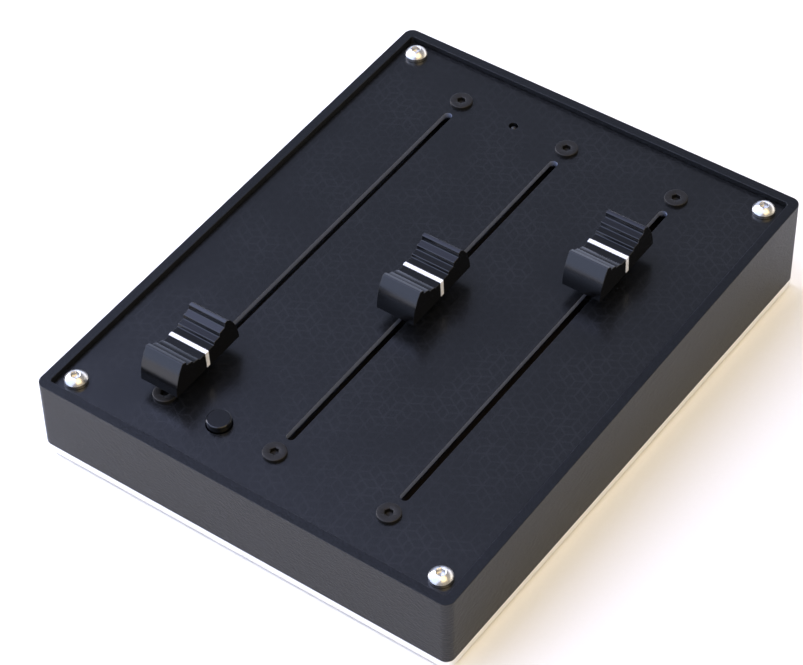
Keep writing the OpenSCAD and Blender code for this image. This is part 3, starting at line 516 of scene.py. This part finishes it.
# One tree sets out a piece at the crossings of a grid, leaned and moved into place, as a drilling plan does.
set_out = bpy.data.node_groups.new("set_out", "GeometryNodeTree")
sockets = {}
for name, kind in {"Piece": "NodeSocketObject", "Columns": "NodeSocketInt", "Rows": "NodeSocketInt",
                   "Width": "NodeSocketFloat", "Length": "NodeSocketFloat", "Lean": "NodeSocketVector",
                   "Place": "NodeSocketVector", "Finish": "NodeSocketMaterial"}.items():
    sockets[name] = set_out.interface.new_socket(name, in_out="INPUT", socket_type=kind).identifier
set_out.interface.new_socket("Geometry", in_out="OUTPUT", socket_type="NodeSocketGeometry")
given = add(set_out, "NodeGroupInput").outputs
grid = add(set_out, "GeometryNodeMeshGrid", {
    "Size X": given["Width"], "Size Y": given["Length"],
    "Vertices X": given["Columns"], "Vertices Y": given["Rows"]})
pattern = add(set_out, "GeometryNodeObjectInfo", {"Object": given["Piece"]})
placed = add(set_out, "GeometryNodeInstanceOnPoints", {
    "Points": grid.outputs["Mesh"], "Instance": pattern.outputs["Geometry"]})
leaned = add(set_out, "GeometryNodeTransform", {
    "Geometry": placed.outputs["Instances"], "Translation": given["Place"], "Rotation": given["Lean"]})
solid = add(set_out, "GeometryNodeRealizeInstances", {"Geometry": leaned.outputs["Geometry"]})
finished = add(set_out, "GeometryNodeSetMaterial", {
    "Geometry": solid.outputs["Geometry"], "Material": given["Finish"]})
add(set_out, "NodeGroupOutput", {"Geometry": finished.outputs["Geometry"]})


def in_rows(name, mesh, finish, columns, rows, width, length, place, lean_angle=0.0):
    """Copies of one mesh on a grid of columns by rows, made one plain mesh."""
    pattern_piece = new_piece(name + "_pattern", mesh)
    piece = new_piece(name, bpy.data.meshes.new(name))
    rows_of = piece.modifiers.new("set_out", "NODES")
    rows_of.node_group = set_out
    for socket_name, value in {"Piece": pattern_piece, "Columns": columns, "Rows": rows, "Width": width,
                               "Length": length, "Lean": (lean_angle, 0.0, 0.0), "Place": place,
                               "Finish": finish}.items():
        rows_of[sockets[socket_name]] = value
    settle(piece)
    bpy.data.objects.remove(pattern_piece)
    return piece


def spacing(node, direction, size):
    """How far apart the outermost copies in a node are, from its reach less the size of one copy."""
    reach = [direction.dot(v.co) for v in frame["nodes"][node].data.vertices]
    return max(reach) - min(reach) - size


# Black-oxide steel: brown-black and faintly oily, with the marks of the lathe, drawn coarse as on the brass.
black_oxide, tree, shader, place = new_material("black_oxide_steel", {"Metallic": 0.75})
turning = add(tree, "ShaderNodeTexNoise", {"Vector": place, "Scale": 1 / TURNING_PITCH, "Detail": 3.0})
colour = add(tree, "ShaderNodeMix", {0: turning.outputs["Fac"], 6: linear("#1c1b1a"), 7: linear("#33312f")},
             data_type="RGBA")
dulling = add(tree, "ShaderNodeMapRange", {"Value": turning.outputs["Fac"], "To Min": 0.38, "To Max": 0.58})
marks = add(tree, "ShaderNodeBump", {
    "Height": turning.outputs["Fac"], "Strength": 0.2, "Distance": FINE_RELIEF})
tree.links.new(colour.outputs[2], shader.inputs["Base Color"])
tree.links.new(dulling.outputs["Result"], shader.inputs["Roughness"])
tree.links.new(marks.outputs["Normal"], shader.inputs["Normal"])

shank_len = panel_top - min(out.dot(v.co) for v in frame["nodes"]["fader_screws"].data.vertices)
low_head = lofted("low_head_screw", shank(shank_len, 0.0) + [ring(LOW_HEAD_D / 2, 0.0)]
                  + rounded_rim(LOW_HEAD_D / 2, LOW_HEAD_H, LOW_HEAD_EDGE) + socket(LOW_HEAD_H))
fader_screws = in_rows(
    "low_head_screws", low_head, black_oxide, columns=3, rows=2,
    width=spacing("fader_screws", across_case, LOW_HEAD_D),
    length=spacing("fader_screws", along, LOW_HEAD_D), place=panel_centre, lean_angle=lean)
stands_for(fader_screws, "case", "black_steel", None, "fader_screws")


# Panel screws: four stainless screws with domed heads and hexagon sockets that hold the panel down on the
# corner posts. The domes are cold-headed and tumbled bright.
DOME_D = 5.7 * MM
DOME_H = 2.5 * MM
DOME_RIM = 1.0 * MM
DOME_FOOT = 0.1 * MM
DOME_RINGS = 9

# Bright stainless: clean silver metal, its gloss broken up by the tiny dents of tumbling, drawn coarse.
stainless, tree, shader, place = new_material("bright_stainless_steel", {"Metallic": 1.0})
tumbled = add(tree, "ShaderNodeTexNoise", {"Vector": place, "Scale": 1 / SPECKLE, "Detail": 2.0})
colour = add(tree, "ShaderNodeMix", {0: tumbled.outputs["Fac"], 6: linear("#c2c0bc"), 7: linear("#d3d1ce")},
             data_type="RGBA")
dulling = add(tree, "ShaderNodeMapRange", {"Value": tumbled.outputs["Fac"], "To Min": 0.24, "To Max": 0.32})
tree.links.new(colour.outputs[2], shader.inputs["Base Color"])
tree.links.new(dulling.outputs["Result"], shader.inputs["Roughness"])

rise = DOME_H - DOME_RIM
dome_r = ((DOME_D / 2) ** 2 + rise ** 2) / (2 * rise)
dome_steps = [DOME_D / 2 + (SOCKET_MOUTH_R - DOME_D / 2) * k / DOME_RINGS for k in range(DOME_RINGS)]
dome_rings = [ring(r, DOME_H - dome_r + math.sqrt(dome_r ** 2 - r ** 2)) for r in dome_steps]
dome_top = DOME_H - dome_r + math.sqrt(dome_r ** 2 - SOCKET_MOUTH_R ** 2)
dome_foot = [ring(DOME_D / 2 - DOME_FOOT, 0.0), ring(DOME_D / 2, DOME_FOOT)]
shank_len = panel_top - min(out.dot(v.co) for v in frame["nodes"]["panel_screws"].data.vertices)
domed = lofted("domed_screw", shank(shank_len, 0.0) + dome_foot + dome_rings + socket(dome_top))
panel_screws = in_rows(
    "domed_screws", domed, stainless, columns=2, rows=2,
    width=spacing("panel_screws", across_case, DOME_D),
    length=spacing("panel_screws", along, DOME_D), place=panel_centre, lean_angle=lean)
stands_for(panel_screws, "case", "stainless_steel", None, "panel_screws")


# Base plate: a flat sheet of aluminium cut to the outline of the case, satin blasted and clear anodised, and
# countersunk from below for its four screws.
PLATE_EDGE = 0.2 * MM
BLAST_GRAIN = 0.25 * MM

# Satin anodised aluminium: pale metal with a soft, even shine. The pits of the blasting are drawn about
# three times as coarse as real ones, so that they show.
anodised, tree, shader, place = new_material("satin_anodised_aluminium", {"Metallic": 1.0})
blast = add(tree, "ShaderNodeTexNoise", {"Vector": place, "Scale": 1 / BLAST_GRAIN, "Detail": 3.0})
colour = add(tree, "ShaderNodeMix", {0: blast.outputs["Fac"], 6: linear("#e9e8e5"), 7: linear("#f5f4f2")},
             data_type="RGBA")
dulling = add(tree, "ShaderNodeMapRange", {"Value": blast.outputs["Fac"], "To Min": 0.38, "To Max": 0.5})
pits = add(tree, "ShaderNodeBump", {
    "Height": blast.outputs["Fac"], "Strength": 0.15, "Distance": FINE_RELIEF})
tree.links.new(colour.outputs[2], shader.inputs["Base Color"])
tree.links.new(dulling.outputs["Result"], shader.inputs["Roughness"])
tree.links.new(pits.outputs["Normal"], shader.inputs["Normal"])
plate = eased_copy("anodised_base", "base_plate", PLATE_EDGE)
stands_for(plate, "case", "satin_aluminium", anodised, "base_plate")


# Base screws: four countersunk socket screws of black-oxide steel, driven up through the base plate into the
# lower inserts. Their flat heads lie level with the plate.
LAND = 0.12 * MM
HEAD_CONE = (LOW_HEAD_D - SHANK_D) / 2
HALF_TURN = Matrix.Rotation(math.pi, 4, "X")
front_to_rear = Vector((0, 1, 0))


def middle(low, high, height):
    """The middle of a box as seen from above, at a given height."""
    return Vector(((low.x + high.x) / 2, (low.y + high.y) / 2, height))


screws_low, screws_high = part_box("base_screws")
sunk_head = [ring(SHANK_D / 2, -HEAD_CONE), ring(LOW_HEAD_D / 2, -LAND), ring(LOW_HEAD_D / 2, 0.0)]
sunk_shank = shank(screws_high.z - screws_low.z, -HEAD_CONE)[:-1]
sunk = lofted("countersunk_screw", sunk_shank + sunk_head + socket(0.0))
sunk.transform(HALF_TURN)
base_screws = in_rows(
    "countersunk_screws", sunk, black_oxide, columns=2, rows=2,
    width=spacing("base_screws", across_case, LOW_HEAD_D),
    length=spacing("base_screws", front_to_rear, LOW_HEAD_D),
    place=middle(screws_low, screws_high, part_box("base_plate")[0].z))
stands_for(base_screws, "case", "black_steel", None, "base_screws")


# Feet: four low discs of moulded rubber with a rounded edge and a shallow dished tread. They are stuck under
# the base near its corners and lift it just clear of the table.
FOOT_D = 10.0 * MM
FOOT_EDGE = 0.25 * MM
FOOT_DISH = 0.2 * MM
TREAD_RIM = 1.0 * MM
DISH_RIM = 1.5 * MM
FOOT_MIDDLE_R = 0.5 * MM
RUBBER_GRAIN = 0.3 * MM

# Moulded rubber: dark grey and dull, with a faint bloom in its tone, drawn coarse enough to show.
rubber, tree, shader, place = new_material("moulded_rubber", {"Roughness": 0.8, "IOR": 1.5})
bloom = add(tree, "ShaderNodeTexNoise", {"Vector": place, "Scale": 1 / RUBBER_GRAIN, "Detail": 2.0})
colour = add(tree, "ShaderNodeMix", {0: bloom.outputs["Fac"], 6: linear("#1d1d1d"), 7: linear("#303030")},
             data_type="RGBA")
tree.links.new(colour.outputs[2], shader.inputs["Base Color"])
foot_low, foot_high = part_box("rubber_feet")
foot_h = foot_high.z - foot_low.z
tread = [ring(FOOT_D / 2 - TREAD_RIM, foot_h), ring(FOOT_D / 2 - DISH_RIM, foot_h - FOOT_DISH),
         ring(FOOT_MIDDLE_R, foot_h - FOOT_DISH)]
foot = lofted("rubber_foot", [ring(FOOT_D / 2, 0.0)] + rounded_rim(FOOT_D / 2, foot_h, FOOT_EDGE) + tread)
foot.transform(HALF_TURN)
feet = in_rows(
    "rubber_pads", foot, rubber, columns=2, rows=2,
    width=spacing("rubber_feet", across_case, FOOT_D),
    length=spacing("rubber_feet", front_to_rear, FOOT_D),
    place=middle(foot_low, foot_high, foot_high.z))
stands_for(feet, "case", "rubber", None, "rubber_feet")


# Fader caps: moulded ABS with bulging ends and a stepped finger dish, each with a white line let into it
# that runs across the valley and down both sides. They push onto the levers.
CAP_EDGE = 0.14 * MM
NOSE_RUN = 1.0 * MM
NOSE_LEAN = math.radians(17.5)
FLATTER = math.radians(4.5)
LEVEL = 0.9
STEEP = 0.5
LINE_EDGE = 0.08 * MM
ABS_GRAIN = 0.4 * MM

# Black ABS: deep black and fairly glossy. The mould's fine texture softens its shine, and is drawn coarse.
abs_black, tree, shader, place = new_material("moulded_black_abs", {"IOR": 1.49})
grain = add(tree, "ShaderNodeTexNoise", {"Vector": place, "Scale": 1 / ABS_GRAIN, "Detail": 2.0})
colour = add(tree, "ShaderNodeMix", {0: grain.outputs["Fac"], 6: linear("#020203"), 7: linear("#050506")},
             data_type="RGBA")
gloss = add(tree, "ShaderNodeMapRange", {"Value": grain.outputs["Fac"], "To Min": 0.16, "To Max": 0.24})
skin = add(tree, "ShaderNodeBump", {
    "Height": grain.outputs["Fac"], "Strength": 0.1, "Distance": FINE_RELIEF})
tree.links.new(colour.outputs[2], shader.inputs["Base Color"])
tree.links.new(gloss.outputs["Result"], shader.inputs["Roughness"])
tree.links.new(skin.outputs["Normal"], shader.inputs["Normal"])

# White ABS: clean and slightly glossy, with a trace of handling in its tone.
abs_white, tree, shader, place = new_material("moulded_white_abs", {"Roughness": 0.4, "IOR": 1.54})
handling = add(tree, "ShaderNodeTexNoise", {"Vector": place, "Scale": 1 / MOULD_MOTTLE, "Detail": 2.0})
colour = add(tree, "ShaderNodeMix", {0: handling.outputs["Fac"], 6: linear("#e4e6ec"), 7: linear("#f1f2f6")},
             data_type="RGBA")
tree.links.new(colour.outputs[2], shader.inputs["Base Color"])


def noses(joined, inward):
    """The noses of the dish's steps on one side, each with its tread. Inward is toward the valley."""
    found = []
    for line in joined.edges:
        run = (line.verts[1].co - line.verts[0].co).normalized()
        tread, riser = sorted(line.link_faces, key=lambda face: inward.dot(face.normal))
        steps_in = tread.normal.dot(inward) > 0 and riser.normal.dot(inward) > STEEP
        if abs(run.x) > LEVEL and line.is_convex and tread.normal.dot(out) > LEVEL and steps_in:
            found.append((line, tread))
    return found


def recut_steps(joined):
    """Makes the rear steps flatter and taller, and slopes a flat along each nose of the front steps."""
    for nose, tread in noses(joined, -along):
        reach = [along.dot(corner.co) for corner in tread.verts]
        lean_in = tread.normal.angle(out)
        rise = (max(reach) - min(reach)) * (math.tan(lean_in) - math.tan(lean_in - FLATTER))
        for end in nose.verts:
            end.co += out * rise
    for nose, tread in noses(joined, along):
        drop = NOSE_RUN * (math.tan(NOSE_LEAN) - math.tan(tread.normal.angle(out)))
        ends = list(nose.verts)
        cut = bmesh.ops.bisect_plane(joined, geom=[tread, *tread.edges, *tread.verts], dist=WELD,
                                     plane_co=ends[0].co - along * NOSE_RUN, plane_no=along)
        for line in cut["geom_cut"]:
            if isinstance(line, bmesh.types.BMEdge):
                line.smooth = False
        for end in ends:
            end.co -= out * drop


for n in FADERS:
    cap = eased_copy(f"cap_{n}", f"fader_{n}_cap", CAP_EDGE, reshape=recut_steps)
    stands_for(cap, f"fader_{n}", "cap_plastic", abs_black, f"fader_{n}_cap")
    index_line = eased_copy(f"index_line_{n}", f"fader_{n}_cap_line", LINE_EDGE, 2)
    stands_for(index_line, f"fader_{n}", "white_line", abs_white, f"fader_{n}_cap_line")


# Button: a round cap of moulded black ABS that stands a little above the panel. Its skirt under the panel
# keeps it in, and it rests on the switch plunger.
BUTTON_EDGE = 0.2 * MM
button = eased_copy("push_button", "button_cap", BUTTON_EDGE)
stands_for(button, "button", "button_plastic", abs_black, "button_cap")


# Floor: a wide sheet of white paper, laid flat. The object only stands on it, and it carries the shadow and
# throws light back up at the sides.
FLOOR = 4.0
PAPER_TOOTH = 0.9 * MM

# White paper: matte and faintly warm. Its tooth is drawn coarser than it is and still only just shows.
paper, tree, shader, place = new_material("white_paper", {"Roughness": 0.9, "IOR": 1.45})
tooth = add(tree, "ShaderNodeTexNoise", {"Vector": place, "Scale": 1 / PAPER_TOOTH})
colour = add(tree, "ShaderNodeMix", {0: tooth.outputs["Fac"], 6: linear("#f4f2ed"), 7: linear("#f7f5f0")},
             data_type="RGBA")
tree.links.new(colour.outputs[2], shader.inputs["Base Color"])
floor_mesh = bpy.data.meshes.new("floor")
floor_corners = [(-FLOOR, -FLOOR, 0), (FLOOR, -FLOOR, 0), (FLOOR, FLOOR, 0), (-FLOOR, FLOOR, 0)]
floor_mesh.from_pydata(floor_corners, [], [(0, 1, 2, 3)])
floor_mesh.materials.append(paper)
new_piece("floor", floor_mesh)


# Light: a very large cool window at the front left, a skylight and a side window at the left, and a warm
# ceiling light at the right. The room is cool on the left, warm on the right and bright low at the rear.
ROOM_STRENGTH = 0.56
REAR_GLOW = 2.2


def soft_light(name, place, size, power, colour):
    """A square area light that faces the middle of the panel."""
    lamp = bpy.data.lights.new(name, "AREA")
    lamp.shape = "SQUARE"
    lamp.size = size
    lamp.energy = power
    lamp.color = linear(colour)[:3]
    holder = bpy.data.objects.new(name, lamp)
    holder.location = place
    holder.rotation_euler = (panel_centre - Vector(place)).to_track_quat("-Z", "Y").to_euler()
    bpy.context.scene.collection.objects.link(holder)


soft_light("window", place=(-0.85, -0.88, 0.98), size=2.7, power=45, colour="#c9d8ff")
soft_light("skylight", place=(-0.78, -0.05, 1.38), size=1.35, power=10.5, colour="#c3ccff")
soft_light("side_window", place=(-1.7, -0.1, 0.75), size=1.0, power=33, colour="#f6f6ff")
soft_light("warm_ceiling", place=(0.75, -0.25, 1.45), size=1.2, power=13, colour="#ffe4ae")
world = bpy.data.worlds.new("soft_room")
world.use_nodes = True
tree = world.node_tree
facing = add(tree, "ShaderNodeSeparateXYZ", {0: add(tree, "ShaderNodeTexCoord").outputs["Generated"]})
side = add(tree, "ShaderNodeMapRange", {"Value": facing.outputs["X"], "From Min": -0.6, "From Max": 0.9})
tint = add(tree, "ShaderNodeMix", {0: side.outputs["Result"], 6: linear("#c6d3f6"), 7: linear("#f4e8d4")},
           data_type="RGBA")
tree.links.new(tint.outputs[2], tree.nodes["Background"].inputs["Color"])
low = add(tree, "ShaderNodeMapRange", {
    "Value": facing.outputs["Z"], "From Min": 0.33, "From Max": 0.45, "To Min": REAR_GLOW, "To Max": 0.0},
    interpolation_type="SMOOTHSTEP")
rear = add(tree, "ShaderNodeMapRange", {"Value": facing.outputs["Y"], "From Min": 0.25, "From Max": 0.75})
glow = add(tree, "ShaderNodeMath", {
    0: low.outputs["Result"], 1: rear.outputs["Result"], 2: ROOM_STRENGTH}, operation="MULTIPLY_ADD")
tree.links.new(glow.outputs[0], tree.nodes["Background"].inputs["Strength"])
bpy.context.scene.world = world
bpy.context.scene.view_settings.view_transform = "Standard"


# Camera: a long lens at the front right, well above the panel and rolled by about a degree. Its place was
# worked out from the corners, screws and slots of the object.
SENSOR_WIDTH = 36.0
LENS = 126.997
STANDPOINT = Vector((281.856, -389.565, 497.216)) * MM
FORWARD = Vector((-0.419772, 0.564217, -0.710951))
ROLL = math.radians(-1.298)
camera_data = bpy.data.cameras.new("camera")
camera_data.sensor_width = SENSOR_WIDTH
camera_data.lens = LENS
camera = bpy.data.objects.new("camera", camera_data)
camera.location = STANDPOINT
aim = FORWARD.to_track_quat("-Z", "Y").to_matrix()
camera.rotation_euler = (aim @ Matrix.Rotation(ROLL, 3, "Z")).to_euler()
bpy.context.scene.collection.objects.link(camera)
bpy.context.scene.camera = camera
